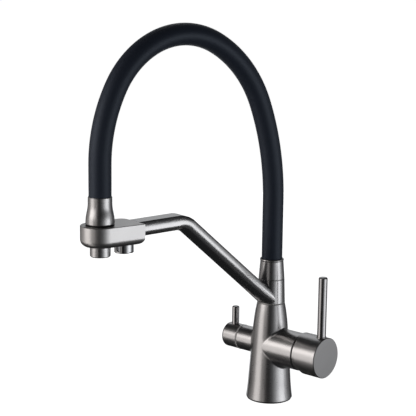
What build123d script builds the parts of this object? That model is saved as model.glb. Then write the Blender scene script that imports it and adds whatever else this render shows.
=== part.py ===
"""Three-way kitchen mixer with a flexible silicone hose and a separate outlet for filtered water.

Millimetres, Z up. Z = 0 is the worktop, and the column stands on the Z axis. The mixer valve
lies along +X, the filtered-water valve along -X, and the arm points towards the user.
"""
import os
from math import asin, atan2, cos, degrees, hypot, radians, sin, sqrt, tan

from build123d import *

os.makedirs("parts", exist_ok=True)

# Column
BASE_RADIUS = 25.2
NECK_RADIUS = 15.1
BODY_TOP = 107.3
RECESS_RADIUS = 17.5
RECESS_TOP = 34.0
VALVE_HEIGHT = 60.0
SEAM_FILLET = 3.0

# Swivel collars
COLLAR_BOTTOM = 108.1
COLLAR_TOP = 133.6
COLLAR_BORE = 11.05
HOSE_COLLAR_TOP = 156.0

# Arm and outlet head
ARM_TURN = 11.0
ARM_ANGLE = 40.5
ARM_RADIUS = 10.1
ARM_FLAT = 6.0
ARM_SAG = 3.2
ARM_ROOT_HEIGHT = 108.6
ARM_SLOPE = 1.5
ARM_ROOT_WIDTH = 14.0
FLARE_START = 4.0
FLARE_END = 44.0
BEND_RADIUS = 24.0
TUBE_DROP = -1.6
HEAD_START = 177.3
REACH = 216.5
HEAD_HALF_WIDTH = 19.5
HEAD_BOTTOM = 195.0
HEAD_TOP = 215.5
HEAD_CORNER = 8.0
HEAD_FILLET = 7.0
AERATOR_REACH = 189.2

# Hose
HOSE_RADIUS = 11.1
JACKET_BORE = 8.5
INNER_HOSE_BORE = 6.0
HOSE_START = 148.6
HOSE_END = 228.2
ARCH = [(22.4, 274.0), (40.9, 123.6), (51.8, 86.8), (36.5, 93.6), (28.4, 155.3)]
ARCH_START = 219.3

# Mixer valve, along +X
HOUSING_RADIUS = 20.0
HOUSING_END = 43.8
CHAMBER_RADIUS = 17.6
CHAMBER_FLOOR = 24.0
CAP_RADIUS = 21.7
CAP_END = 75.5
CAP_EDGE_TOP = 45.3
CAP_EDGE_BOTTOM = 54.5
PIVOT_X = 46.0
BALL_X = 38.0
BALL_RADIUS = 3.0
LEVER_X = 69.0
LEVER_RADIUS = 4.7
LEVER_FOOT = 67.0
LEVER_TOP = 146.2
BOSS_FACE = 60.6
SET_SCREW_X = 63.8

# Filtered-water valve, along -X
BARREL_RADIUS = 13.6
BARREL_END = 37.5
HANDLE_START = 39.2
HANDLE_END = 59.5
PIN_X = 50.0
PIN_RADIUS = 4.0
PIN_FOOT = 64.6
PIN_TOP = 93.3

# Fixing through a worktop 30 mm thick
DECK = 30.0
STUD_PLACE = (-9.5, 8.0)
STUD_RADIUS = 4.0
HOT_PORT = (10.0, -7.0)
COLD_PORT = (10.0, 7.0)
FILTER_PORT = (-9.0, -8.0)

reach_x = -sin(radians(ARM_TURN))
reach_y = -cos(radians(ARM_TURN))
arm_plane = Plane(origin=(0, 0, 0), x_dir=(reach_x, reach_y, 0), z_dir=(reach_y, -reach_x, 0))
outlet = (REACH * reach_x, REACH * reach_y)
aerator_place = (AERATOR_REACH * reach_x, AERATOR_REACH * reach_y)
column_axis = Axis.Z
valve_axis = Axis((0, 0, VALVE_HEIGHT), (1, 0, 0))


def upright_profile(points, centre=(0, 0)):
    """Closed outline of (radius, height) points, standing at one place of the plan."""
    with BuildSketch(Plane(origin=(centre[0], centre[1], 0), x_dir=(1, 0, 0),
                           z_dir=(0, -1, 0))) as outline:
        with BuildLine():
            Polyline(*points, close=True)
        make_face()
    return outline.sketch


def upright_axis(centre):
    return Axis((centre[0], centre[1], 0), (0, 0, 1))


def level_profile(points):
    """Closed outline of (x, radius) points about the common axis of the two valves."""
    with BuildSketch(Plane.XZ) as outline:
        with BuildLine():
            Polyline(*[(x, VALVE_HEIGHT + r) for x, r in points], close=True)
        make_face()
    return outline.sketch


def disc_between(start, end, radius):
    """A round face at the start point, square to the way to the end point."""
    way = (end[0] - start[0], end[1] - start[1], end[2] - start[2])
    with BuildSketch(Plane(origin=start, z_dir=way)) as outline:
        Circle(radius)
    return outline.sketch


def distance(start, end):
    return hypot(end[0] - start[0], end[1] - start[1], end[2] - start[2])


def arm_offset_line(offset):
    """Corner points of the arm's centre line in its own plane, moved square to the line."""
    slope = radians(ARM_ANGLE)
    level = radians(ARM_SLOPE)
    end = (HEAD_START, HEAD_TOP - ARM_FLAT / cos(level) + offset / cos(level))
    root_height = ARM_ROOT_HEIGHT + offset / cos(slope)
    corner_s = (end[1] + end[0] * tan(level) - root_height) / (tan(slope) + tan(level))
    corner = (corner_s, root_height + corner_s * tan(slope))
    return root_height, corner, end


def arm_route(start_s, offset, end_s, bend):
    """Centre line of the arm: rising run, bend and the nearly level run to the head."""
    slope = radians(ARM_ANGLE)
    level = radians(-ARM_SLOPE)
    root_height, corner, end = arm_offset_line(offset)
    tangent = bend * tan((slope - level) / 2)
    start = (start_s, root_height + start_s * tan(slope))
    first = (corner[0] - tangent * cos(slope), corner[1] - tangent * sin(slope))
    last = (corner[0] + tangent * cos(level), corner[1] + tangent * sin(level))
    finish = (end_s, corner[1] + (end_s - corner[0]) * tan(level))
    with BuildLine(arm_plane) as route:
        Line(start, first)
        TangentArc(first, last, tangent=(cos(slope), sin(slope)))
        Line(last, finish)
    return route.line


def hose_route(bottom_start, bottom_end):
    """Centre line of the hose: up from the column, over the arch and down to the outlet."""
    angles = [0.0]
    for angle, radius in ARCH:
        angles.append(angles[-1] + radians(angle))
    span = sum(radius * (cos(angles[k]) - cos(angles[k + 1])) for k, (angle, radius) in enumerate(ARCH))
    with BuildLine(arm_plane) as route:
        s, z, heading = 0.0, ARCH_START, 0.0
        Line((0, bottom_start), (0, ARCH_START))
        for angle, arc_radius in ARCH:
            radius = arc_radius * REACH / span
            new = heading + radians(angle)
            s_new = s + radius * (cos(heading) - cos(new))
            z_new = z + radius * (sin(new) - sin(heading))
            middle = heading + radians(angle) / 2
            through = (s + radius * (cos(heading) - cos(middle)),
                       z + radius * (sin(middle) - sin(heading)))
            ThreePointArc((s, z), through, (s_new, z_new))
            s, z, heading = s_new, z_new, new
        Line((s, z), (s, bottom_end))
    return route.line


# Rubber gasket under the column
with BuildPart() as base_gasket:
    revolve(upright_profile([(RECESS_RADIUS, 0), (24.2, 0), (24.2, 1.5), (RECESS_RADIUS, 1.5)]),
            axis=column_axis)
base_gasket.part.label = "base_gasket"

# Cast brass body: cone, mixer housing and filter barrel
with BuildPart() as body:
    with BuildSketch(Plane.XZ) as cone_outline:
        with BuildLine():
            Line((0, 1.5), (BASE_RADIUS - 0.4, 1.5))
            Line((BASE_RADIUS - 0.4, 1.5), (BASE_RADIUS, 1.9))
            ThreePointArc((BASE_RADIUS, 1.9), (23.95, 12.0), (23.0, 24.0))
            Line((23.0, 24.0), (19.05, 78.0))
            ThreePointArc((19.05, 78.0), (17.45, 93.5), (NECK_RADIUS, BODY_TOP - 0.3))
            Line((NECK_RADIUS, BODY_TOP - 0.3), (NECK_RADIUS - 0.3, BODY_TOP))
            Line((NECK_RADIUS - 0.3, BODY_TOP), (0, BODY_TOP))
            Line((0, BODY_TOP), (0, 1.5))
        make_face()
    revolve(axis=column_axis)
    revolve(level_profile([(0, 0), (0, HOUSING_RADIUS), (HOUSING_END - 0.4, HOUSING_RADIUS),
                           (HOUSING_END, HOUSING_RADIUS - 0.4), (HOUSING_END, 0)]), axis=valve_axis)
    revolve(level_profile([(0, 0), (0, BARREL_RADIUS), (-BARREL_END + 0.3, BARREL_RADIUS),
                           (-BARREL_END, BARREL_RADIUS - 0.3), (-BARREL_END, 0)]), axis=valve_axis)
    # Small cast fillet where the two barrels grow out of the cone
    seams = [edge for edge in body.edges() if edge.geom_type not in (GeomType.CIRCLE, GeomType.LINE)]
    fillet(seams, radius=SEAM_FILLET)
    # Recess for the supply hoses, with the threaded ports in its roof
    revolve(upright_profile([(0, 0), (RECESS_RADIUS, 0), (RECESS_RADIUS, RECESS_TOP), (0, RECESS_TOP)]),
            axis=column_axis, mode=Mode.SUBTRACT)
    for place in (HOT_PORT, COLD_PORT, FILTER_PORT):
        extrude(disc_between((place[0], place[1], RECESS_TOP), (place[0], place[1], 60), 4.5),
                amount=10, mode=Mode.SUBTRACT)
    extrude(disc_between((STUD_PLACE[0], STUD_PLACE[1], RECESS_TOP), (STUD_PLACE[0], STUD_PLACE[1], 60),
                         STUD_RADIUS), amount=12, mode=Mode.SUBTRACT)
    # Chamber and thread of the mixing cartridge
    revolve(level_profile([(CHAMBER_FLOOR, 0), (CHAMBER_FLOOR, CHAMBER_RADIUS), (38, CHAMBER_RADIUS),
                           (38, 18.6), (50, 18.6), (50, 0)]), axis=valve_axis, mode=Mode.SUBTRACT)
    # Seat and thread of the filtered-water headwork
    revolve(level_profile([(-18, 0), (-18, 10.4), (-45, 10.4), (-45, 0)]), axis=valve_axis,
            mode=Mode.SUBTRACT)
    # Bore that takes the swivel stem
    revolve(upright_profile([(0, 90), (10, 90), (10, 120), (0, 120)]), axis=column_axis,
            mode=Mode.SUBTRACT)
    # Waterways
    for start, end, radius in (
            ((10, -7, 43), (10, -7, 68), 2.6), ((10, -7, 66), (CHAMBER_FLOOR + 1, -7, 66), 2.6),
            ((10, 7, 43), (10, 7, 68), 2.6), ((10, 7, 66), (CHAMBER_FLOOR + 1, 7, 66), 2.6),
            ((CHAMBER_FLOOR + 1, 0, 52), (-1, 0, 52), 3.5), ((0, 0, 49), (0, 0, 91), 4.5),
            ((-9, -8, 43), (-9, -8, 61), 2.6), ((-9, -8, 58.5), (-19, -4, 58.5), 2.4),
            ((-19, 4, 61), (-6.0, 4, 61), 2.0), ((-6.46, 4.0, 60), (-6.46, 4.0, 91), 1.6)):
        extrude(disc_between(start, end, radius), amount=distance(start, end), mode=Mode.SUBTRACT)
body.part.label = "body"

# Swivel stem screwed into the top of the body
with BuildPart() as swivel_stem:
    revolve(upright_profile([(5.05, 90), (10, 90), (10, BODY_TOP), (11, BODY_TOP), (11, 112.9),
                             (9.1, 112.9), (9.1, 115.1), (11, 115.1), (11, 117), (9.6, 117), (9.6, 122),
                             (11, 122), (11, 123.4), (9.1, 123.4), (9.1, 125.6), (11, 125.6), (11, 127),
                             (9.5, 127), (9.5, 146), (5.05, 146)]), axis=column_axis)
    extrude(disc_between((-6.9, 3.4, 90), (-6.9, 3.4, 120), 1.4), amount=29.5, mode=Mode.SUBTRACT)
    extrude(disc_between((-6.9, 3.4, 119.5), (-9.9, 4.9, 119.5), 1.4), amount=4, mode=Mode.SUBTRACT)
swivel_stem.part.label = "swivel_stem"

# Two rings that seal the filtered water inside the arm collar
with BuildPart() as swivel_o_rings:
    for height in (114.0, 124.5):
        with BuildSketch(Plane.XZ) as ring_section:
            with Locations((10.05, height)):
                Circle(0.95)
        revolve(axis=column_axis)
swivel_o_rings.part.label = "swivel_o_rings"

# Slide rings under the arm collar and under the swivel nut
with BuildPart() as lower_slide_ring:
    revolve(upright_profile([(11.1, BODY_TOP), (14.2, BODY_TOP), (14.2, COLLAR_BOTTOM),
                             (11.1, COLLAR_BOTTOM)]), axis=column_axis)
lower_slide_ring.part.label = "lower_slide_ring"

with BuildPart() as upper_slide_ring:
    revolve(upright_profile([(9.6, 127.0), (11.4, 127.0), (11.4, 127.7), (9.6, 127.7)]),
            axis=column_axis)
upper_slide_ring.part.label = "upper_slide_ring"

# Nut that keeps the arm collar on the stem
with BuildPart() as swivel_nut:
    with BuildSketch(Plane.XY.offset(127.7)):
        Circle(11.5)
        Circle(9.5, mode=Mode.SUBTRACT)
    extrude(amount=4.6)
    with BuildSketch(Plane.XY.offset(129.6)):
        for turn in (0, 90):
            Rectangle(26, 3.2, rotation=turn)
    extrude(amount=5, mode=Mode.SUBTRACT)
swivel_nut.part.label = "swivel_nut"

# Arm: collar and D-section tube brazed together, bored for the filtered-water tube
arm_way = (reach_x * cos(radians(ARM_ANGLE)), reach_y * cos(radians(ARM_ANGLE)),
           sin(radians(ARM_ANGLE)))


def arm_section(place, way, half_width=ARM_RADIUS, sag=0.0):
    """D-shaped section of the arm, flat on top; its widest place lies lower by the sag."""
    shoulder = degrees(asin(ARM_FLAT / ARM_RADIUS))
    shoulder_height = (ARM_FLAT + sag) * ARM_RADIUS / ARM_FLAT
    flat_half = half_width * sqrt(1 - (ARM_FLAT / ARM_RADIUS) ** 2)
    with BuildSketch(Plane(origin=place, x_dir=(-reach_y, reach_x, 0), z_dir=way)) as outline:
        with BuildLine():
            EllipticalCenterArc((0, -sag), half_width, shoulder_height, 0, arc_size=shoulder)
            Line((flat_half, ARM_FLAT), (-flat_half, ARM_FLAT))
            EllipticalCenterArc((0, -sag), half_width, shoulder_height, 180 - shoulder,
                                arc_size=shoulder)
            EllipticalCenterArc((0, -sag), half_width, ARM_RADIUS - sag, 180, arc_size=180)
        make_face()
    return outline.sketch


def arm_root_section(station):
    """The section of the rising run, which widens towards the collar."""
    place = arm_plane.from_local_coords((station, ARM_ROOT_HEIGHT + station * tan(radians(ARM_ANGLE))))
    flare = max(0.0, (FLARE_END - station) / (FLARE_END - FLARE_START)) ** 2
    return arm_section(place, arm_way, ARM_RADIUS + flare * (ARM_ROOT_WIDTH - ARM_RADIUS))


with BuildPart() as spout_arm:
    revolve(upright_profile([(0, COLLAR_BOTTOM), (14.85, COLLAR_BOTTOM), (15.05, COLLAR_BOTTOM + 0.2),
                             (14.1, COLLAR_TOP - 0.2), (13.9, COLLAR_TOP), (0, COLLAR_TOP)]),
            axis=column_axis)
    rise, bend, level_run = arm_route(FLARE_END, 0, HEAD_START + 1, BEND_RADIUS).edges()
    loft(sections=[arm_root_section(FLARE_START), arm_root_section((FLARE_START + FLARE_END) / 2),
                   arm_root_section(FLARE_END)])
    extrude(arm_section(rise @ 0, rise % 0), amount=rise.length, dir=rise % 0)
    # The section sags towards the head as the bend goes round
    sweep(sections=[arm_section(bend @ 0, bend % 0), arm_section(bend @ 1, bend % 1, sag=ARM_SAG)],
          path=bend, multisection=True)
    extrude(arm_section(level_run @ 0, level_run % 0, sag=ARM_SAG), amount=level_run.length,
            dir=level_run % 0)
    end_plane = Plane(origin=arm_plane.from_local_coords((HEAD_START, 200)),
                      z_dir=(reach_x, reach_y, 0))
    with BuildSketch(end_plane) as end_cut:
        Rectangle(60, 60)
    extrude(end_cut.sketch, amount=10, mode=Mode.SUBTRACT)
    tube_bore = arm_route(9.0, TUBE_DROP, HEAD_START + 1, BEND_RADIUS - TUBE_DROP)
    bore_start = Plane(origin=tube_bore @ 0, z_dir=tube_bore % 0)
    with BuildSketch(bore_start) as bore_section:
        Circle(6.0)
    sweep(sections=bore_section.sketch, path=tube_bore, mode=Mode.SUBTRACT)
    revolve(upright_profile([(0, 90), (17, 90), (17, COLLAR_BOTTOM), (0, COLLAR_BOTTOM)]),
            axis=column_axis, mode=Mode.SUBTRACT)
    revolve(upright_profile([(0, 100), (COLLAR_BORE, 100), (COLLAR_BORE, 127.0), (13.0, 127.0),
                             (13.0, 145), (0, 145)]), axis=column_axis, mode=Mode.SUBTRACT)
spout_arm.part.label = "spout_arm"

# Tube that carries the filtered water through the arm into the head
with BuildPart() as filtered_water_tube:
    tube_route = arm_route(13.5, TUBE_DROP, 184.0, BEND_RADIUS - TUBE_DROP)
    with BuildSketch(Plane(origin=tube_route @ 0, z_dir=tube_route % 0)) as tube_section:
        Circle(4.5)
        Circle(3.2, mode=Mode.SUBTRACT)
    sweep(sections=tube_section.sketch, path=tube_route)
filtered_water_tube.part.label = "filtered_water_tube"

# Outlet head: flat-topped block that docks the hose and holds the aerator
head_plane = Plane(origin=(0, 0, HEAD_BOTTOM), x_dir=(reach_x, reach_y, 0), z_dir=(0, 0, 1))
with BuildPart() as outlet_head:
    with BuildSketch(head_plane):
        with Locations(((HEAD_START + REACH) / 2, 0)):
            Rectangle(REACH - HEAD_START, 2 * HEAD_HALF_WIDTH)
        with Locations((REACH, 0)):
            Circle(HEAD_HALF_WIDTH)
    extrude(amount=HEAD_TOP - HEAD_BOTTOM)
    # The corner behind the arm is rounded, the one in front stays crisp
    corners = [edge for edge in outlet_head.edges().filter_by(Axis.Z)
               if edge.center().X * reach_x + edge.center().Y * reach_y < HEAD_START + 1]
    rear = [edge for edge in corners if edge.center().Y * reach_x < edge.center().X * reach_y]
    fillet(rear, radius=HEAD_CORNER)
    fillet(outlet_head.edges().group_by(Axis.Z)[0], radius=HEAD_FILLET)
    chamfer(outlet_head.edges().group_by(Axis.Z)[-1], length=0.4)
    bore_face = disc_between((outlet[0], outlet[1], 190), (outlet[0], outlet[1], 200), 12.4)
    extrude(bore_face, amount=40, mode=Mode.SUBTRACT)
    seat_face = disc_between((outlet[0], outlet[1], 213), (outlet[0], outlet[1], 220), 14.0)
    extrude(seat_face, amount=10, mode=Mode.SUBTRACT)
    tube_end_height = HEAD_TOP - ARM_FLAT + TUBE_DROP
    tube_in = arm_plane.from_local_coords((HEAD_START - 2, tube_end_height))
    tube_stop = arm_plane.from_local_coords((AERATOR_REACH, tube_end_height - 0.3))
    extrude(disc_between(tuple(tube_in), tuple(tube_stop), 4.6), amount=AERATOR_REACH - HEAD_START + 2,
            mode=Mode.SUBTRACT)
    for radius, top in ((8.4, 204.5), (4.0, 208.0)):
        extrude(disc_between((aerator_place[0], aerator_place[1], 190),
                             (aerator_place[0], aerator_place[1], 200), radius), amount=top - 190,
                mode=Mode.SUBTRACT)
outlet_head.part.label = "outlet_head"

# Plastic bush that seats the end of the hose
with BuildPart() as dock_bush:
    revolve(upright_profile([(10.5, 197.0), (12.4, 197.0), (12.4, 213.0), (14.0, 213.0), (14.0, 215.9),
                             (13.6, 216.3), (10.9, 216.3), (10.5, 215.9)], outlet),
            axis=upright_axis(outlet))
dock_bush.part.label = "dock_bush"

# Filtered-water outlet: threaded chrome housing, insert and gasket
with BuildPart() as aerator_housing:
    revolve(upright_profile([(7.2, 185.6), (9.1, 185.6), (9.6, 186.1), (9.6, 194.9), (8.4, 194.9),
                             (8.4, 203.0), (6.4, 203.0), (6.4, 196.0), (7.2, 196.0)], aerator_place),
            axis=upright_axis(aerator_place))
    for turn in (-84, 96):
        slot_way = (cos(radians(turn)), sin(radians(turn)), 0)
        slot_plane = Plane(origin=(aerator_place[0] + 8.6 * slot_way[0],
                                   aerator_place[1] + 8.6 * slot_way[1], 191.1),
                           x_dir=(-slot_way[1], slot_way[0], 0), z_dir=slot_way)
        with BuildSketch(slot_plane) as slot:
            SlotCenterToCenter(3.2, 3.4, rotation=90)
        extrude(slot.sketch, amount=3, mode=Mode.SUBTRACT)
    for turn in (-1, 179):
        notch_way = (cos(radians(turn)), sin(radians(turn)), 0)
        notch_plane = Plane(origin=(aerator_place[0] + 7.9 * notch_way[0],
                                    aerator_place[1] + 7.9 * notch_way[1], 185.6),
                            x_dir=(-notch_way[1], notch_way[0], 0), z_dir=notch_way)
        with BuildSketch(notch_plane) as notch:
            Rectangle(4.2, 3.2)
        extrude(notch.sketch, amount=3, mode=Mode.SUBTRACT)
aerator_housing.part.label = "aerator_housing"

with BuildPart() as aerator_insert:
    revolve(upright_profile([(0, 186.6), (7.1, 186.6), (7.1, 193.5), (5.6, 193.5), (5.6, 189.6),
                             (0, 189.6)], aerator_place), axis=upright_axis(aerator_place))
    with BuildSketch(Plane(origin=(aerator_place[0], aerator_place[1], 186.6))):
        with GridLocations(2.4, 2.4, 5, 5):
            RegularPolygon(0.9, 6)
    extrude(amount=3, mode=Mode.SUBTRACT)
aerator_insert.part.label = "aerator_insert"

with BuildPart() as aerator_gasket:
    revolve(upright_profile([(4.3, 194.0), (7.1, 194.0), (7.1, 195.9), (4.3, 195.9)], aerator_place),
            axis=upright_axis(aerator_place))
aerator_gasket.part.label = "aerator_gasket"

# Conical collar at the foot of the hose
with BuildPart() as hose_collar:
    with BuildSketch(Plane.XZ) as collar_outline:
        with BuildLine():
            Polyline((12.0, 129.5), (13.0, 129.5), (13.0, COLLAR_TOP + 0.6), (13.8, COLLAR_TOP + 0.6),
                     (14.0, COLLAR_TOP + 0.8), (12.5, 153.4))
            ThreePointArc((12.5, 153.4), (12.75, 155.2), (12.1, HOSE_COLLAR_TOP))
            Polyline((12.1, HOSE_COLLAR_TOP), (11.15, HOSE_COLLAR_TOP - 0.4), (11.15, 146.0),
                     (12.0, 146.0), (12.0, 129.5))
        make_face()
    revolve(axis=column_axis)
hose_collar.part.label = "hose_collar"

# Brass tail that feeds the inner hose and turns in the stem
with BuildPart() as hose_tail:
    revolve(upright_profile([(3.1, 121.5), (5.0, 121.5), (5.0, 137.2), (3.9, 137.2), (3.9, 138.8),
                             (5.0, 138.8), (5.0, 146.2), (11.0, 146.2), (11.0, 148.4), (6.0, 148.4),
                             (6.0, 168.0), (5.4, 169.0), (3.1, 169.0)]), axis=column_axis)
hose_tail.part.label = "hose_tail"

with BuildPart() as hose_tail_o_ring:
    with BuildSketch(Plane.XZ):
        with Locations((4.45, 138.0)):
            Circle(0.54)
    revolve(axis=column_axis)
hose_tail_o_ring.part.label = "hose_tail_o_ring"

# Silicone jacket and the water hose inside it, at rest in the arch
jacket_route = hose_route(HOSE_START, HOSE_END)
with BuildPart() as hose_jacket:
    with BuildSketch(Plane.XY.offset(HOSE_START)) as jacket_section:
        Circle(HOSE_RADIUS)
        Circle(JACKET_BORE, mode=Mode.SUBTRACT)
    sweep(sections=jacket_section.sketch, path=jacket_route)
hose_jacket.part.label = "hose_jacket"

with BuildPart() as inner_hose:
    with BuildSketch(Plane.XY.offset(HOSE_START)) as inner_section:
        Circle(JACKET_BORE)
        Circle(INNER_HOSE_BORE, mode=Mode.SUBTRACT)
    sweep(sections=inner_section.sketch, path=jacket_route)
inner_hose.part.label = "inner_hose"

# Bell-shaped ferrule on the outlet end of the hose
with BuildPart() as ferrule:
    with BuildSketch(Plane(origin=(outlet[0], outlet[1], 0), x_dir=(1, 0, 0),
                           z_dir=(0, -1, 0))) as bell_outline:
        with BuildLine():
            Polyline((9.0, 216.7), (13.2, 216.7))
            ThreePointArc((13.2, 216.7), (13.85, 217.05), (14.15, 217.9))
            Line((14.15, 217.9), (14.15, 219.5))
            Spline((14.15, 219.5), (13.45, 226.0), (12.3, 232.0), (11.9, 238.5),
                   tangents=((0, 1), (0, 1)))
            Polyline((11.9, 238.5), (11.9, 242.9), (11.6, 243.4), (11.15, 243.4), (11.15, 226.5),
                     (9.0, 226.5), (9.0, 216.7))
        make_face()
    revolve(axis=upright_axis(outlet))
ferrule.part.label = "ferrule"

with BuildPart() as hose_end_fitting:
    revolve(upright_profile([(4.1, 222.5), (5.95, 222.5), (5.95, 226.5), (11.0, 226.5), (11.0, 228.1),
                             (5.95, 228.1), (5.95, 244.0), (5.4, 245.0), (4.1, 245.0)], outlet),
            axis=upright_axis(outlet))
hose_end_fitting.part.label = "hose_end_fitting"

# Nozzle that passes through the head
with BuildPart() as spray_body:
    revolve(upright_profile([(7.7, 184.8), (9.3, 184.8), (10.1, 185.7), (10.1, 216.5), (9.0, 216.5),
                             (9.0, 226.4), (6.0, 226.4), (6.0, 214.0), (7.7, 212.0)], outlet),
            axis=upright_axis(outlet))
spray_body.part.label = "spray_body"

with BuildPart() as spray_insert:
    revolve(upright_profile([(0, 185.6), (7.65, 185.6), (7.65, 193.0), (6.4, 193.0), (6.4, 188.2),
                             (0, 188.2)], outlet), axis=upright_axis(outlet))
    with BuildSketch(Plane(origin=(outlet[0], outlet[1], 185.6))):
        for ring_radius, count in ((1.9, 6), (3.7, 12), (5.3, 16)):
            with PolarLocations(ring_radius, count):
                Circle(0.5)
    extrude(amount=3, mode=Mode.SUBTRACT)
spray_insert.part.label = "spray_insert"

# Mixing cartridge: housing, seals, ceramic discs, driver and spindle
PORTS = ((-7.0, 66.0), (7.0, 66.0), (0.0, 52.0))
with BuildPart() as cartridge_body:
    revolve(level_profile([(24.3, 0), (24.3, 17.5), (40, 17.5), (40, 13.5), (48, 13.5), (48, 10.6),
                           (38, 10.6), (38, 15.5), (27.3, 15.5), (27.3, 0)]), axis=valve_axis)
    for side, height in PORTS:
        extrude(disc_between((24, side, height), (30, side, height), 5.3), amount=1.3,
                mode=Mode.SUBTRACT)
        extrude(disc_between((24, side, height), (30, side, height), 2.8), amount=4, mode=Mode.SUBTRACT)
cartridge_body.part.label = "cartridge_body"

with BuildPart() as cartridge_seals:
    for side, height in PORTS:
        with BuildSketch(Plane(origin=(CHAMBER_FLOOR, side, height), z_dir=(1, 0, 0))):
            Circle(5.2)
            Circle(3.6, mode=Mode.SUBTRACT)
    extrude(amount=1.3)
cartridge_seals.part.label = "cartridge_seals"

with BuildPart() as fixed_disc:
    revolve(level_profile([(27.3, 0), (27.3, 15.4), (31.3, 15.4), (31.3, 0)]), axis=valve_axis)
    for side, height in PORTS:
        extrude(disc_between((26, side, height), (30, side, height), 2.8), amount=8, mode=Mode.SUBTRACT)
fixed_disc.part.label = "fixed_disc"

with BuildPart() as moving_disc:
    revolve(level_profile([(31.35, 0), (31.35, 11.5), (34.85, 11.5), (34.85, 0)]), axis=valve_axis)
    with BuildSketch(Plane(origin=(31.35, 0, VALVE_HEIGHT), x_dir=(0, 1, 0), z_dir=(1, 0, 0))):
        with BuildLine():
            ThreePointArc((-5.5, 3.0), (0, 5.2), (5.5, 3.0))
            Polyline((5.5, 3.0), (5.8, -4.0), (5.0, -8.5), (-5.0, -8.5), (-5.8, -4.0), (-5.5, 3.0))
        make_face()
    extrude(amount=1.8, mode=Mode.SUBTRACT)
moving_disc.part.label = "moving_disc"

# Slider on the back of the moving disc, with the socket for the spindle's ball
with BuildPart() as disc_slider:
    with BuildSketch(Plane(origin=(34.85, 0, VALVE_HEIGHT), x_dir=(0, 1, 0), z_dir=(1, 0, 0))):
        Rectangle(8.2, 11)
        Circle(BALL_RADIUS + 0.05, mode=Mode.SUBTRACT)
    extrude(amount=5.15)
disc_slider.part.label = "disc_slider"

with BuildPart() as cartridge_driver:
    revolve(level_profile([(34.9, 0), (34.9, 15.2), (37.6, 15.2), (37.6, 10.54), (49.5, 10.54),
                           (49.5, 0)]), axis=valve_axis)
    with Locations((36.3, 0, VALVE_HEIGHT)):
        Box(3.4, 8.4, 20, mode=Mode.SUBTRACT)
    with Locations((46, 0, VALVE_HEIGHT)):
        Box(16.4, 8.4, 30, mode=Mode.SUBTRACT)
    extrude(disc_between((PIVOT_X, -12, VALVE_HEIGHT), (PIVOT_X, 12, VALVE_HEIGHT), 1.5), amount=24,
            mode=Mode.SUBTRACT)
cartridge_driver.part.label = "cartridge_driver"

with BuildPart() as pivot_pin:
    extrude(disc_between((PIVOT_X, -9.0, VALVE_HEIGHT), (PIVOT_X, 9.0, VALVE_HEIGHT), 1.5), amount=18)
pivot_pin.part.label = "pivot_pin"

with BuildPart() as cartridge_spindle:
    with BuildSketch(Plane(origin=(42.0, 0, VALVE_HEIGHT), z_dir=(1, 0, 0))):
        RectangleRounded(8, 8, 0.8)
    extrude(amount=24)
    extrude(disc_between((BALL_X, 0, VALVE_HEIGHT), (PIVOT_X, 0, VALVE_HEIGHT), 1.8), amount=4.5)
    with Locations((BALL_X, 0, VALVE_HEIGHT)):
        Sphere(BALL_RADIUS)
    extrude(disc_between((PIVOT_X, -12, VALVE_HEIGHT), (PIVOT_X, 12, VALVE_HEIGHT), 1.56), amount=24,
            mode=Mode.SUBTRACT)
cartridge_spindle.part.label = "cartridge_spindle"

with BuildPart() as cartridge_nut:
    revolve(level_profile([(40, 13.6), (40, 18.6), (43.6, 18.6), (43.6, 17.9), (50.5, 17.9),
                           (50.5, 15.6), (50, 15.1), (50, 13.6)]), axis=valve_axis)
cartridge_nut.part.label = "cartridge_nut"

# Trim ring that shows between the housing and the cap
with BuildPart() as trim_ring:
    revolve(level_profile([(45.0, 17.9), (45.0, 19.5), (45.3, 19.8), (50.0, 19.8), (52.4, 18.6),
                           (52.4, 15.6), (51.0, 15.6), (51.0, 17.9)]), axis=valve_axis)
trim_ring.part.label = "trim_ring"

# Cap of the mixer valve, its inner edge cut at a slant so that it can tilt
with BuildPart() as mixer_cap:
    revolve(level_profile([(40, 20.8), (40, CAP_RADIUS), (CAP_END - 0.7, CAP_RADIUS),
                           (CAP_END, CAP_RADIUS - 0.7), (CAP_END, 0), (BOSS_FACE, 0),
                           (BOSS_FACE, 20.8)]), axis=valve_axis)
    with BuildSketch(Plane.XZ.offset(-30)) as slant:
        with BuildLine():
            rise = (CAP_EDGE_BOTTOM - CAP_EDGE_TOP) / (2 * CAP_RADIUS)
            Polyline((30, VALVE_HEIGHT + 30),
                     (CAP_EDGE_TOP - rise * (30 - CAP_RADIUS), VALVE_HEIGHT + 30),
                     (CAP_EDGE_BOTTOM + rise * (30 - CAP_RADIUS), VALVE_HEIGHT - 30),
                     (30, VALVE_HEIGHT - 30), close=True)
        make_face()
    extrude(slant.sketch, amount=60, mode=Mode.SUBTRACT)
    with BuildSketch(Plane(origin=(58, 0, VALVE_HEIGHT), z_dir=(1, 0, 0))):
        RectangleRounded(8, 8, 0.8)
    extrude(amount=8, mode=Mode.SUBTRACT)
    extrude(disc_between((LEVER_X, 0, LEVER_FOOT), (LEVER_X, 0, 100), LEVER_RADIUS), amount=30,
            mode=Mode.SUBTRACT)
    extrude(disc_between((SET_SCREW_X, 0, 57), (SET_SCREW_X, 0, 30), 2.5), amount=30,
            mode=Mode.SUBTRACT)
mixer_cap.part.label = "mixer_cap"

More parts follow.
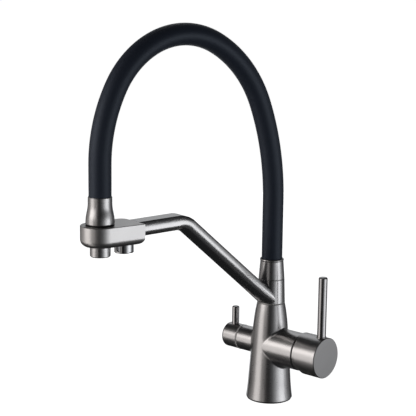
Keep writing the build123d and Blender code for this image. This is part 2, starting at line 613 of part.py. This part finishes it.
with BuildPart() as mixer_lever:
    # Narrow ring that sits on the round of the cap
    revolve(upright_profile([(0, 78), (5.3, 78), (5.3, 82.2), (5.1, 82.5), (0, 82.5)], (LEVER_X, 0)),
            axis=upright_axis((LEVER_X, 0)))
    revolve(level_profile([(60, 0), (60, CAP_RADIUS), (78, CAP_RADIUS), (78, 0)]), axis=valve_axis,
            mode=Mode.SUBTRACT)
    extrude(disc_between((LEVER_X, 0, LEVER_FOOT), (LEVER_X, 0, 100), LEVER_RADIUS),
            amount=LEVER_TOP - LEVER_FOOT)
    fillet(mixer_lever.edges().group_by(Axis.Z)[-1], radius=1.4)
mixer_lever.part.label = "mixer_lever"

with BuildPart() as lever_set_screw:
    extrude(disc_between((SET_SCREW_X, 0, 56), (SET_SCREW_X, 0, 30), 2.5), amount=9)
    with BuildSketch(Plane(origin=(SET_SCREW_X, 0, 47), z_dir=(0, 0, 1))):
        RegularPolygon(1.4, 6)
    extrude(amount=3, mode=Mode.SUBTRACT)
lever_set_screw.part.label = "lever_set_screw"

# Quarter-turn headwork of the filtered-water valve, its discs and its spindle
with BuildPart() as filter_headwork:
    revolve(level_profile([(-19.5, 8.0), (-19.5, 10.4), (-37.5, 10.4), (-37.5, 9.0), (-44.0, 9.0),
                           (-44.0, 4.57), (-29.5, 4.57), (-29.5, 8.0)]), axis=valve_axis)
filter_headwork.part.label = "filter_headwork"

with BuildPart() as filter_seal:
    revolve(level_profile([(-18.0, 6.4), (-18.0, 8.8), (-19.5, 8.8), (-19.5, 6.4)]), axis=valve_axis)
filter_seal.part.label = "filter_seal"

with BuildPart() as filter_fixed_disc:
    revolve(level_profile([(-19.5, 0), (-19.5, 8.0), (-22.5, 8.0), (-22.5, 0)]), axis=valve_axis)
    for side in (-4, 4):
        extrude(disc_between((-19, side, VALVE_HEIGHT), (-25, side, VALVE_HEIGHT), 1.9), amount=6,
                mode=Mode.SUBTRACT)
filter_fixed_disc.part.label = "filter_fixed_disc"

with BuildPart() as filter_moving_disc:
    revolve(level_profile([(-22.55, 0), (-22.55, 7.92), (-25.05, 7.92), (-25.05, 0)]), axis=valve_axis)
    with BuildSketch(Plane(origin=(-22.55, 0, VALVE_HEIGHT), x_dir=(0, 1, 0), z_dir=(-1, 0, 0))):
        SlotCenterToCenter(8, 3.8)
    extrude(amount=1.4, mode=Mode.SUBTRACT)
filter_moving_disc.part.label = "filter_moving_disc"

with BuildPart() as filter_spindle:
    revolve(level_profile([(-25.05, 0), (-25.05, 7.92), (-29.4, 7.92), (-29.4, 4.5), (-52.0, 4.5),
                           (-52.0, 0)]), axis=valve_axis)
filter_spindle.part.label = "filter_spindle"

# White washer that shows as a thin line in front of the handle
with BuildPart() as filter_trim_ring:
    revolve(level_profile([(-BARREL_END, 9.0), (-BARREL_END, 12.8), (-37.8, 12.8), (-37.8, 13.7),
                           (-37.9, 13.8), (-38.9, 13.8), (-39.0, 13.7), (-39.0, 9.0)]), axis=valve_axis)
filter_trim_ring.part.label = "filter_trim_ring"

# Handle of the filtered-water valve
with BuildPart() as filter_cap:
    revolve(level_profile([(-HANDLE_START, 12.0), (-HANDLE_START, 13.4),
                           (-HANDLE_START - 0.2, BARREL_RADIUS), (-HANDLE_END, BARREL_RADIUS),
                           (-HANDLE_END, 0), (-52.0, 0), (-52.0, 4.5), (-45.5, 4.5), (-45.5, 12.0)]),
            axis=valve_axis)
    fillet(filter_cap.edges().group_by(Axis.X)[0], radius=3.0)
    extrude(disc_between((-PIN_X, 0, PIN_FOOT), (-PIN_X, 0, 100), PIN_RADIUS), amount=30,
            mode=Mode.SUBTRACT)
filter_cap.part.label = "filter_cap"

with BuildPart() as filter_pin:
    extrude(disc_between((-PIN_X, 0, PIN_FOOT), (-PIN_X, 0, 100), PIN_RADIUS),
            amount=PIN_TOP - PIN_FOOT)
    fillet(filter_pin.edges().group_by(Axis.Z)[-1], radius=1.4)
filter_pin.part.label = "filter_pin"

# Stud, crescent washers and nut that clamp the column to the worktop
with BuildPart() as fixing_stud:
    extrude(disc_between((STUD_PLACE[0], STUD_PLACE[1], 46), (STUD_PLACE[0], STUD_PLACE[1], 0),
                         STUD_RADIUS), amount=116)
    chamfer(fixing_stud.edges().group_by(Axis.Z)[0], length=0.8)
fixing_stud.part.label = "fixing_stud"

stud_turn = degrees(atan2(STUD_PLACE[1], STUD_PLACE[0]))
stud_distance = hypot(STUD_PLACE[0], STUD_PLACE[1])


def crescent(height):
    """Clamp washer outline: a disc, open on the side away from the stud so that it slips past the hoses."""
    with BuildSketch(Plane(origin=(0, 0, height),
                           x_dir=(cos(radians(stud_turn)), sin(radians(stud_turn)), 0),
                           z_dir=(0, 0, 1))) as outline:
        Circle(24)
        with Locations((-12, 0)):
            Rectangle(36, 27, mode=Mode.SUBTRACT)
        with Locations((stud_distance, 0)):
            Circle(STUD_RADIUS + 0.3, mode=Mode.SUBTRACT)
    return outline.sketch


with BuildPart() as rubber_clamp_washer:
    extrude(crescent(-DECK - 2.0), amount=2.0)
rubber_clamp_washer.part.label = "rubber_clamp_washer"

with BuildPart() as steel_clamp_washer:
    extrude(crescent(-DECK - 4.5), amount=2.5)
steel_clamp_washer.part.label = "steel_clamp_washer"

with BuildPart() as clamp_nut:
    with BuildSketch(Plane(origin=(STUD_PLACE[0], STUD_PLACE[1], -DECK - 4.5))):
        RegularPolygon(6.5, 6, major_radius=False)
        Circle(STUD_RADIUS, mode=Mode.SUBTRACT)
    extrude(amount=-16)
clamp_nut.part.label = "clamp_nut"

for piece in (base_gasket, body, swivel_stem, swivel_o_rings, lower_slide_ring, upper_slide_ring,
              swivel_nut, spout_arm, filtered_water_tube, outlet_head, dock_bush, aerator_housing,
              aerator_insert, aerator_gasket, hose_collar, hose_tail, hose_tail_o_ring, hose_jacket,
              inner_hose, ferrule, hose_end_fitting, spray_body, spray_insert, cartridge_body,
              cartridge_seals, fixed_disc, moving_disc, disc_slider, cartridge_driver, pivot_pin,
              cartridge_spindle, cartridge_nut, trim_ring, mixer_cap, mixer_lever, lever_set_screw,
              filter_headwork, filter_seal, filter_fixed_disc, filter_moving_disc, filter_spindle,
              filter_trim_ring, filter_cap, filter_pin, fixing_stud, rubber_clamp_washer,
              steel_clamp_washer, clamp_nut):
    export_step(piece.part, f"parts/{piece.part.label}.step")
    print(piece.part.label, round(piece.part.volume, 1), len(piece.part.solids()), piece.part.is_valid)
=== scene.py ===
import bpy
import math
from mathutils import Matrix, Vector


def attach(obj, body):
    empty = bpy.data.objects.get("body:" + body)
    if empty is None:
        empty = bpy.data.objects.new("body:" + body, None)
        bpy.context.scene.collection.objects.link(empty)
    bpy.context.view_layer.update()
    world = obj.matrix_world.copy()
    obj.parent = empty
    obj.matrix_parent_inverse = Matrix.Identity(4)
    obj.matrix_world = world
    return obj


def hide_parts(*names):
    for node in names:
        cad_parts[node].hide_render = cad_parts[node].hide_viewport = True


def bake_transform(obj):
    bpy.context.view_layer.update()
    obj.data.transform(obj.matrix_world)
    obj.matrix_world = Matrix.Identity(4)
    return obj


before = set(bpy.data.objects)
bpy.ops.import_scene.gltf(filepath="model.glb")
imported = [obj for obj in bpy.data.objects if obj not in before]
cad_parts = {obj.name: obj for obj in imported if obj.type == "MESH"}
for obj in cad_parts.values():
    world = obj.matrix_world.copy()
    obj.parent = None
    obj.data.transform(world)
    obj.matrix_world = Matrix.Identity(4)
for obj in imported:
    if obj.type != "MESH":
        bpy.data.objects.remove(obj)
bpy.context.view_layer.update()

# Camera: stands to the front right of the tap, a little above it, where the photograph was
# taken from. The lens and the small shift give the photograph's framing.
CAMERA_TURN = math.radians(42.05)
CAMERA_TILT = math.radians(10.38)
CAMERA_ROLL = math.radians(0.67)
CAMERA_DISTANCE = 1.34355
AIM_ASIDE = -0.07014
AIM_HEIGHT = 0.20636
FOCAL_PIXELS = 1222.85
PHOTO_WIDTH = 416
AXIS_COLUMN = 207.3
AXIS_ROW = 207.83

back = Vector((math.sin(CAMERA_TURN) * math.cos(CAMERA_TILT),
               -math.cos(CAMERA_TURN) * math.cos(CAMERA_TILT), math.sin(CAMERA_TILT)))
level_right = Vector((math.cos(CAMERA_TURN), math.sin(CAMERA_TURN), 0))
level_up = back.cross(level_right)
camera_right = math.cos(CAMERA_ROLL) * level_right + math.sin(CAMERA_ROLL) * level_up
camera_up = -math.sin(CAMERA_ROLL) * level_right + math.cos(CAMERA_ROLL) * level_up
camera = bpy.data.objects.new("camera", bpy.data.cameras.new("camera"))
bpy.context.scene.collection.objects.link(camera)
camera_place = back * CAMERA_DISTANCE + level_right * AIM_ASIDE + level_up * AIM_HEIGHT
camera_turn = Matrix((camera_right, camera_up, back)).transposed().to_4x4()
camera.matrix_world = Matrix.Translation(camera_place) @ camera_turn
camera.data.sensor_width = 36
camera.data.lens = FOCAL_PIXELS / PHOTO_WIDTH * camera.data.sensor_width
camera.data.shift_x = (PHOTO_WIDTH / 2 - AXIS_COLUMN) / PHOTO_WIDTH
camera.data.shift_y = (AXIS_ROW - PHOTO_WIDTH / 2) / PHOTO_WIDTH
camera.data.clip_start = 0.01
camera.data.clip_end = 200
bpy.context.scene.camera = camera
bpy.context.scene.view_settings.view_transform = "Standard"

# Studio: a wide pale floor under a white room. Softboxes stand side by side left and right
# of the camera, with dim ones behind, and draw the long bright bands in the satin metal.
FLOOR_RADIUS = 60
ROOM_GLOW = 0.015
LIGHT_CENTRE = Vector((-0.02, -0.08, 0.2))
LIGHT_DISTANCE = 1.4
WARM = (1.0, 0.96, 0.93)
COOL = (0.96, 0.98, 1.0)


def plain_material(name):
    material = bpy.data.materials.new(name)
    material.use_nodes = True
    material.node_tree.nodes.clear()
    output = material.node_tree.nodes.new("ShaderNodeOutputMaterial")
    return material, material.node_tree.nodes, material.node_tree.links, output


floor_mesh = bpy.data.meshes.new("floor")
floor_mesh.from_pydata([(x * FLOOR_RADIUS, y * FLOOR_RADIUS, 0) for x, y in
                        ((-1, -1), (1, -1), (1, 1), (-1, 1))], [], [(0, 1, 2, 3)])
floor = bpy.data.objects.new("floor", floor_mesh)
bpy.context.scene.collection.objects.link(floor)
floor.visible_glossy = False
floor.visible_shadow = False
floor_finish, nodes, links, output = plain_material("pale_floor")
paper = nodes.new("ShaderNodeBsdfDiffuse")
paper.inputs["Color"].default_value = (0.8, 0.8, 0.8, 1)
bounce = nodes.new("ShaderNodeEmission")
bounce.inputs["Color"].default_value = (1, 1, 1, 1)
bounce.inputs["Strength"].default_value = 1.0
together = nodes.new("ShaderNodeAddShader")
links.new(paper.outputs[0], together.inputs[0])
links.new(bounce.outputs[0], together.inputs[1])
seen = nodes.new("ShaderNodeLightPath")
choose = nodes.new("ShaderNodeMixShader")
links.new(seen.outputs["Is Camera Ray"], choose.inputs[0])
dull = nodes.new("ShaderNodeBsdfDiffuse")
dull.inputs["Color"].default_value = (0.3, 0.3, 0.3, 1)
links.new(dull.outputs[0], choose.inputs[1])
links.new(together.outputs[0], choose.inputs[2])
links.new(choose.outputs[0], output.inputs["Surface"])
floor_mesh.materials.append(floor_finish)

world = bpy.data.worlds.new("room")
bpy.context.scene.world = world
world.use_nodes = True
nodes, links = world.node_tree.nodes, world.node_tree.links
nodes.clear()
output = nodes.new("ShaderNodeOutputWorld")
white = nodes.new("ShaderNodeBackground")
white.inputs["Color"].default_value = (1, 1, 1, 1)
white.inputs["Strength"].default_value = 1.0
dim = nodes.new("ShaderNodeBackground")
dim.inputs["Color"].default_value = (0.9, 0.95, 1, 1)
dim.inputs["Strength"].default_value = ROOM_GLOW
seen = nodes.new("ShaderNodeLightPath")
choose = nodes.new("ShaderNodeMixShader")
links.new(seen.outputs["Is Camera Ray"], choose.inputs[0])
links.new(dim.outputs[0], choose.inputs[1])
links.new(white.outputs[0], choose.inputs[2])
links.new(choose.outputs[0], output.inputs["Surface"])


def softbox(name, aside, rise, radiance, colour):
    """A rectangular light that spans angles right of the camera and above the level, in degrees."""
    turn = CAMERA_TURN + math.radians(sum(aside) / 2)
    tilt = math.radians(sum(rise) / 2)
    way = Vector((math.sin(turn) * math.cos(tilt), -math.cos(turn) * math.cos(tilt), math.sin(tilt)))
    lamp = bpy.data.lights.new(name, "AREA")
    lamp.shape = "RECTANGLE"
    half_width = math.radians(aside[1] - aside[0]) / 2
    half_height = math.radians(rise[1] - rise[0]) / 2
    lamp.size = 2 * LIGHT_DISTANCE * math.tan(half_width) * math.cos(tilt)
    lamp.size_y = 2 * LIGHT_DISTANCE * math.tan(half_height)
    lamp.energy = radiance * math.pi * lamp.size * lamp.size_y
    lamp.color = colour
    box = bpy.data.objects.new(name, lamp)
    bpy.context.scene.collection.objects.link(box)
    facing = way.to_track_quat("Z", "Y").to_matrix().to_4x4()
    box.matrix_world = Matrix.Translation(LIGHT_CENTRE + way * LIGHT_DISTANCE) @ facing
    box.visible_camera = False


for name, aside, rise, radiance, colour in (
        ("left_far", (-132, -108), (-20, 30), 0.25, WARM),
        ("left_back", (-108, -88), (-28, 26), 0.3, WARM),
        ("left_main", (-88, -52), (-28, 4), 1.05, WARM),
        ("left_upper", (-88, -52), (4, 26), 1.95, WARM),
        ("left_inner", (-52, -38), (-24, 4), 0.25, WARM),
        ("left_inner_upper", (-52, -38), (4, 26), 1.2, WARM),
        ("left_near", (-38, -24), (-18, 20), 0.3, WARM),
        ("left_high", (-88, -60), (26, 50), 0.45, WARM),
        ("left_low", (-75, -45), (-52, -28), 0.6, WARM),
        ("right_near", (4, 22), (-25, 8), 0.06, COOL),
        ("right_inner", (22, 38), (-25, 8), 0.3, COOL),
        ("right_middle", (38, 54), (-22, 7), 0.9, COOL),
        ("right_main", (54, 84), (-22, 7), 1.5, COOL),
        ("right_back", (84, 104), (-25, 12), 0.45, COOL),
        ("right_far", (104, 130), (-30, 15), 0.12, COOL),
        ("right_low", (45, 110), (-58, -28), 0.04, COOL),
        ("rear_below", (152, 208), (-30, 2), 0.6, COOL),
        ("rear_low", (168, 192), (4, 22), 0.45, COOL),
        ("rear_high", (166, 194), (22, 50), 0.6, COOL),
        ("rear_right", (120, 166), (5, 40), 0.1, COOL)):
    softbox(name + "_softbox", aside, rise, radiance, colour)

# Column: one cast and turned brass body in satin gunmetal, with both valve barrels on it
# and soft fillets where they meet. A dark rubber gasket seals it to the worktop.
GUNMETAL = (0.60, 0.59, 0.592)
RUBBER_BLACK = (0.012, 0.012, 0.013)
GRAIN_SCALE = 2600
CLOUD_SCALE = 45
BRUSH_DEPTH = 0.00004


def noise(nodes, links, vector, scale, detail):
    pattern = nodes.new("ShaderNodeTexNoise")
    pattern.inputs["Scale"].default_value = scale
    pattern.inputs["Detail"].default_value = detail
    links.new(vector, pattern.inputs["Vector"])
    return pattern.outputs["Fac"]


def vary_colour(nodes, links, shader, pattern, colour, darker, lighter):
    tint = nodes.new("ShaderNodeMix")
    tint.data_type = "RGBA"
    tint.inputs["A"].default_value = (*[c * darker for c in colour], 1)
    tint.inputs["B"].default_value = (*[min(1, c * lighter) for c in colour], 1)
    links.new(pattern, tint.inputs["Factor"])
    links.new(tint.outputs["Result"], shader.inputs["Base Color"])


def vary_surface(nodes, links, shader, pattern, roughness, spread, strength, depth):
    """Lets a pattern change the roughness and raise fine bumps."""
    worn = nodes.new("ShaderNodeMapRange")
    worn.inputs["To Min"].default_value = roughness - spread
    worn.inputs["To Max"].default_value = roughness + spread
    links.new(pattern, worn.inputs["Value"])
    links.new(worn.outputs["Result"], shader.inputs["Roughness"])
    bump = nodes.new("ShaderNodeBump")
    bump.inputs["Strength"].default_value = strength
    bump.inputs["Distance"].default_value = depth
    links.new(pattern, bump.inputs["Height"])
    links.new(bump.outputs["Normal"], shader.inputs["Normal"])


def satin_metal(name, colour, roughness, grain=(1, 1, 1)):
    """Brushed and coated metal. The grain stretches along the axes whose scale is small."""
    material, nodes, links, output = plain_material(name)
    shader = nodes.new("ShaderNodeBsdfPrincipled")
    shader.inputs["Metallic"].default_value = 1
    place = nodes.new("ShaderNodeTexCoord").outputs["Object"]
    stretch = nodes.new("ShaderNodeMapping")
    stretch.inputs["Scale"].default_value = grain
    links.new(place, stretch.inputs["Vector"])
    fine = noise(nodes, links, stretch.outputs["Vector"], GRAIN_SCALE, 3)
    cloud = noise(nodes, links, place, CLOUD_SCALE, 4)
    vary_colour(nodes, links, shader, cloud, colour, 0.93, 1.05)
    vary_surface(nodes, links, shader, fine, roughness, 0.02, 0.06, BRUSH_DEPTH)
    links.new(shader.outputs[0], output.inputs["Surface"])
    return material


def moulded(name, colour, roughness, grain=1400, specular=0.5, depth=0.00005):
    """Rubber, silicone or plastic as it leaves the mould, with a fine even grain."""
    material, nodes, links, output = plain_material(name)
    shader = nodes.new("ShaderNodeBsdfPrincipled")
    shader.inputs["Specular IOR Level"].default_value = specular
    fine = noise(nodes, links, nodes.new("ShaderNodeTexCoord").outputs["Object"], grain, 3)
    vary_colour(nodes, links, shader, fine, colour, 0.85, 1.15)
    vary_surface(nodes, links, shader, fine, roughness, 0.04, 0.25, depth)
    links.new(shader.outputs[0], output.inputs["Surface"])
    return material


def dress(material, *names):
    for name in names:
        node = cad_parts[name]
        node.data.materials.clear()
        node.data.materials.append(material)


gunmetal_upright = satin_metal("gunmetal_turned", GUNMETAL, 0.28, (0.12, 0.12, 1))
black_rubber = moulded("black_rubber", RUBBER_BLACK, 0.6)
dress(gunmetal_upright, "body")
dress(black_rubber, "base_gasket")

# Fixing under the worktop: a zinc-plated stud with a horseshoe washer of rubber and one of
# steel, and a long brass nut. The stud carries a rolled M8 thread.
STUD_SIZES = {"Crest radius": 0.004, "Thread depth": 0.00068, "Pitch": 0.00125, "Length": 0.116,
              "Aside": -0.0095, "Behind": 0.008, "Middle": -0.012, "Facets": 28, "Steps": 560}


def math_node(nodes, links, operation, first, second):
    node = nodes.new("ShaderNodeMath")
    node.operation = operation
    for socket, value in zip(node.inputs, (first, second)):
        if isinstance(value, (int, float)):
            socket.default_value = value
        else:
            links.new(value, socket)
    return node.outputs[0]


def grown(name, build, sizes, material, start=None):
    """Runs one Geometry Nodes tree and keeps its result as a plain mesh at the origin."""
    tree = bpy.data.node_groups.new(name, "GeometryNodeTree")
    tree.interface.new_socket("Start", in_out="INPUT", socket_type="NodeSocketGeometry")
    tree.interface.new_socket("Made", in_out="OUTPUT", socket_type="NodeSocketGeometry")
    for size, value in sizes.items():
        kind = "NodeSocketInt" if isinstance(value, int) else "NodeSocketFloat"
        tree.interface.new_socket(size, in_out="INPUT", socket_type=kind)
    made = build(tree.nodes, tree.links, tree.nodes.new("NodeGroupInput").outputs)
    plain = tree.nodes.new("GeometryNodeRealizeInstances")
    painted = tree.nodes.new("GeometryNodeSetMaterial")
    painted.inputs["Material"].default_value = material
    tree.links.new(made, plain.inputs["Geometry"])
    tree.links.new(plain.outputs["Geometry"], painted.inputs["Geometry"])
    tree.links.new(painted.outputs["Geometry"], tree.nodes.new("NodeGroupOutput").inputs[0])
    holder = bpy.data.objects.new(name + "_start", start or bpy.data.meshes.new(name + "_start"))
    bpy.context.scene.collection.objects.link(holder)
    modifier = holder.modifiers.new("grow", "NODES")
    modifier.node_group = tree
    for socket in tree.interface.items_tree:
        if socket.in_out == "INPUT" and socket.name in sizes:
            modifier[socket.identifier] = sizes[socket.name]
    view_layer = bpy.context.evaluated_depsgraph_get()
    mesh = bpy.data.meshes.new_from_object(holder.evaluated_get(view_layer))
    mesh.name = name
    bpy.data.objects.remove(holder)
    piece = bpy.data.objects.new(name, mesh)
    bpy.context.scene.collection.objects.link(piece)
    return piece


def rolled_thread(nodes, links, size):
    """A rod whose radius rises and falls with height less angle, so the ridge winds up it."""
    rod = nodes.new("GeometryNodeMeshCylinder")
    links.new(size["Facets"], rod.inputs["Vertices"])
    links.new(size["Steps"], rod.inputs["Side Segments"])
    links.new(size["Crest radius"], rod.inputs["Radius"])
    links.new(size["Length"], rod.inputs["Depth"])
    place = nodes.new("ShaderNodeSeparateXYZ")
    links.new(nodes.new("GeometryNodeInputPosition").outputs[0], place.inputs[0])
    x, y, z = place.outputs
    bearing = math_node(nodes, links, "ARCTAN2", y, x)
    angle = math_node(nodes, links, "DIVIDE", bearing, 2 * math.pi)
    turns = math_node(nodes, links, "DIVIDE", z, size["Pitch"])
    lag = math_node(nodes, links, "SUBTRACT", turns, angle)
    phase = math_node(nodes, links, "FRACT", lag, 0)
    half_wave = math_node(nodes, links, "PINGPONG", phase, 0.5)
    wave = math_node(nodes, links, "MULTIPLY", half_wave, 2)
    depth = math_node(nodes, links, "DIVIDE", size["Thread depth"], size["Crest radius"])
    shrink = math_node(nodes, links, "MULTIPLY", wave, depth)
    inward = math_node(nodes, links, "SUBTRACT", 1, shrink)
    point = nodes.new("ShaderNodeCombineXYZ")
    for socket, along, shift in ((0, x, "Aside"), (1, y, "Behind")):
        shrunk = math_node(nodes, links, "MULTIPLY", along, inward)
        links.new(math_node(nodes, links, "ADD", shrunk, size[shift]), point.inputs[socket])
    links.new(math_node(nodes, links, "ADD", z, size["Middle"]), point.inputs[2])
    wound = nodes.new("GeometryNodeSetPosition")
    links.new(rod.outputs["Mesh"], wound.inputs["Geometry"])
    links.new(point.outputs[0], wound.inputs["Position"])
    return wound.outputs["Geometry"]


zinc_plate = satin_metal("zinc_plate", (0.62, 0.62, 0.6), 0.35)
raw_brass = satin_metal("raw_brass", (0.78, 0.6, 0.32), 0.33, (0.2, 0.2, 1))
stud = grown("threaded_stud", rolled_thread, STUD_SIZES, zinc_plate)
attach(stud, "base")
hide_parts("fixing_stud")
dress(zinc_plate, "steel_clamp_washer")
dress(raw_brass, "clamp_nut")
dress(black_rubber, "rubber_clamp_washer")

# Mixer valve: a plastic cartridge with ceramic discs, held in the barrel by a brass nut.
# The discs are ground smooth, and rubber seals close the ports behind them.
gunmetal_level = satin_metal("gunmetal_level", GUNMETAL, 0.3, (1, 0.12, 0.12))
white_plastic = moulded("white_plastic", (0.72, 0.72, 0.7), 0.45)
ceramic = moulded("ground_ceramic", (0.82, 0.81, 0.78), 0.18, 3000, 0.6, 0.00001)
dress(white_plastic, "cartridge_body", "cartridge_driver", "disc_slider")
dress(ceramic, "fixed_disc", "moving_disc")
dress(black_rubber, "cartridge_seals")
# The cartridge nut is coloured near black as painted shade for the shadowed gap between the mixer
# cap and the barrel.
brass_painted_gap_shade = satin_metal("brass_painted_gap_shade", (0.05, 0.047, 0.045), 0.5)
dress(brass_painted_gap_shade, "cartridge_nut")
dress(raw_brass, "cartridge_spindle")
dress(zinc_plate, "pivot_pin")

# Mixer handle: trim ring, turned cap and a straight round lever, all in the satin coat. The
# lever is polished more finely than the cap, and a set screw holds the cap on the spindle.
gunmetal_lever = satin_metal("gunmetal_lever", (0.46, 0.45, 0.455), 0.13, (0.12, 0.12, 1))
dress(gunmetal_level, "trim_ring", "mixer_cap")
dress(gunmetal_lever, "mixer_lever")
dress(zinc_plate, "lever_set_screw")

# Filtered-water valve: a quarter-turn headwork with two ceramic discs, a turned cap with a
# rounded end, a white nylon washer in front of it, and a short pin to turn it by.
dress(raw_brass, "filter_headwork", "filter_spindle")
dress(ceramic, "filter_fixed_disc", "filter_moving_disc")
dress(black_rubber, "filter_seal")
dress(gunmetal_level, "filter_cap")
white_nylon = moulded("white_nylon", (0.92, 0.92, 0.91), 0.3)
dress(white_nylon, "filter_trim_ring")
dress(gunmetal_lever, "filter_pin")

# Swivel: a brass stem screwed into the column, with O-rings and plastic slide rings that
# the collar of the arm turns on, under a brass nut.
dress(raw_brass, "swivel_stem", "swivel_nut")
dress(black_rubber, "swivel_o_rings")
dress(white_plastic, "lower_slide_ring", "upper_slide_ring")

# Arm: a D-shaped tube bent and brazed to its collar, with the cast head on its end and a
# stainless tube inside that carries the filtered water.
gunmetal_arm = satin_metal("gunmetal_arm", GUNMETAL, 0.24, (0.5, 0.12, 0.5))
# The head's gunmetal is coloured lighter than the rest of the coat as painted light, to brighten the
# highlights on its faces.
gunmetal_head_painted_light = satin_metal("gunmetal_head_painted_light", (0.7, 0.685, 0.68), 0.35, (0.4, 0.12, 0.4))
dress(gunmetal_arm, "spout_arm")
dress(gunmetal_head_painted_light, "outlet_head")
stainless_steel = satin_metal("stainless_steel", (0.6, 0.59, 0.57), 0.3)
dress(stainless_steel, "filtered_water_tube")

# Outlets: a black bush seats the hose in the head, and a chromed aerator, with slots and
# notches for its key, holds the filtered-water screen and its gasket.
black_plastic = moulded("black_plastic", (0.015, 0.015, 0.017), 0.35)
chrome = satin_metal("bright_chrome", (0.62, 0.62, 0.63), 0.12)
dress(black_plastic, "dock_bush")
dress(chrome, "aerator_housing")
dress(white_plastic, "aerator_insert")
dress(black_rubber, "aerator_gasket")

# Foot of the hose: a turned collar in satin gunmetal that covers the brass tail. The tail
# turns in the stem, sealed by an O-ring, and feeds the hose inside.
dress(gunmetal_upright, "hose_collar")
dress(raw_brass, "hose_tail")
dress(black_rubber, "hose_tail_o_ring")

# Hose: an extruded silicone jacket over the water hose, one smooth arch from the collar to the
# ferrule.
HOSE_FOOT = 0.1486
HOSE_TOP_END = 0.2282
ARM_TURN = math.radians(11)
REACH = 0.2165
ARCH_FOOT = 0.2193
ARCH = ((22.4, 274.0), (40.9, 123.6), (51.8, 86.8), (36.5, 93.6), (28.4, 155.3))
STEP_LENGTH = 0.003
ARC_STEPS_LEAST = 6
LEG_STEPS = 24
HOSE_SIZES = {"Hose radius": 0.0111, "Facets": 64}

reach_way = Vector((-math.sin(ARM_TURN), -math.cos(ARM_TURN), 0))
turned = 0.0
run = 0.0
for degrees_turned, radius in ARCH:
    after = turned + math.radians(degrees_turned)
    run += radius * (math.cos(turned) - math.cos(after))
    turned = after
scale = REACH / run
line = [(0.0, HOSE_FOOT + (ARCH_FOOT - HOSE_FOOT) * k / LEG_STEPS) for k in range(LEG_STEPS)]
turned, out, height = 0.0, 0.0, ARCH_FOOT
for degrees_turned, radius in ARCH:
    radius *= scale
    steps = max(ARC_STEPS_LEAST, round(radius * math.radians(degrees_turned) / STEP_LENGTH))
    for k in range(steps):
        here = turned + math.radians(degrees_turned) * k / steps
        line.append((out + radius * (math.cos(turned) - math.cos(here)),
                     height + radius * (math.sin(here) - math.sin(turned))))
    after = turned + math.radians(degrees_turned)
    out += radius * (math.cos(turned) - math.cos(after))
    height += radius * (math.sin(after) - math.sin(turned))
    turned = after
line += [(REACH, height + (HOSE_TOP_END - height) * k / LEG_STEPS) for k in range(LEG_STEPS + 1)]

hose_line = bpy.data.meshes.new("hose_centre_line")
hose_line.from_pydata([reach_way * out + Vector((0, 0, height)) for out, height in line],
                      [(k, k + 1) for k in range(len(line) - 1)], [])


def extruded_hose(nodes, links, size):
    """A round section swept along the centre line, closed at both ends."""
    path = nodes.new("GeometryNodeMeshToCurve")
    links.new(size["Start"], path.inputs["Mesh"])
    section = nodes.new("GeometryNodeCurvePrimitiveCircle")
    links.new(size["Facets"], section.inputs["Resolution"])
    links.new(size["Hose radius"], section.inputs["Radius"])
    tube = nodes.new("GeometryNodeCurveToMesh")
    tube.inputs["Fill Caps"].default_value = True
    links.new(path.outputs["Curve"], tube.inputs["Curve"])
    links.new(section.outputs["Curve"], tube.inputs["Profile Curve"])
    return tube.outputs["Mesh"]


silicone = moulded("black_silicone", (0.026, 0.034, 0.056), 0.5, 1800, 0.6, 0.00003)
rubbery = silicone.node_tree.nodes["Principled BSDF"].inputs
rubbery["Sheen Weight"].default_value = 0.35
rubbery["Sheen Roughness"].default_value = 0.4
rubbery["Sheen Tint"].default_value = (0.85, 0.92, 1, 1)
rubbery["Specular Tint"].default_value = (0.75, 0.85, 1, 1)
hose = grown("silicone_hose", extruded_hose, HOSE_SIZES, silicone, hose_line)
for face in hose.data.polygons:
    face.use_smooth = len(face.vertices) == 4
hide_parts("hose_jacket", "inner_hose")
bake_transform(hose)

# Spray end: a turned ferrule pressed on the hose, over the brass fitting inside it, and the
# nozzle that docks in the head. Its plastic insert carries three rings of rubber jets.
dress(gunmetal_upright, "ferrule", "spray_body")
dress(raw_brass, "hose_end_fitting")
dress(black_plastic, "spray_insert")
NOZZLE_FACE = 0.1856
JET_RINGS = ((0.0019, 6), (0.0037, 12), (0.0053, 16))
JET_SIZES = {"Base radius": 0.00046, "Tip radius": 0.0003, "Height": 0.0007, "Facets": 12}


def rubber_jets(nodes, links, size):
    """Three rings of small cones that point down from the nozzle's face."""
    cone = nodes.new("GeometryNodeMeshCone")
    links.new(size["Facets"], cone.inputs["Vertices"])
    links.new(size["Tip radius"], cone.inputs["Radius Top"])
    links.new(size["Base radius"], cone.inputs["Radius Bottom"])
    links.new(size["Height"], cone.inputs["Depth"])
    together = nodes.new("GeometryNodeJoinGeometry")
    for ring_radius, count in JET_RINGS:
        ring = nodes.new("GeometryNodeMeshCircle")
        ring.inputs["Vertices"].default_value = count
        ring.inputs["Radius"].default_value = ring_radius
        spread = nodes.new("GeometryNodeInstanceOnPoints")
        spread.inputs["Rotation"].default_value = (math.pi, 0, 0)
        links.new(ring.outputs["Mesh"], spread.inputs["Points"])
        links.new(cone.outputs["Mesh"], spread.inputs["Instance"])
        links.new(spread.outputs["Instances"], together.inputs["Geometry"])
    placed = nodes.new("GeometryNodeTransform")
    placed.inputs["Translation"].default_value = reach_way * REACH + Vector((0, 0, NOZZLE_FACE))
    links.new(together.outputs["Geometry"], placed.inputs["Geometry"])
    return placed.outputs["Geometry"]


jets = grown("rubber_jets", rubber_jets, JET_SIZES, black_rubber)
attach(jets, "spray")
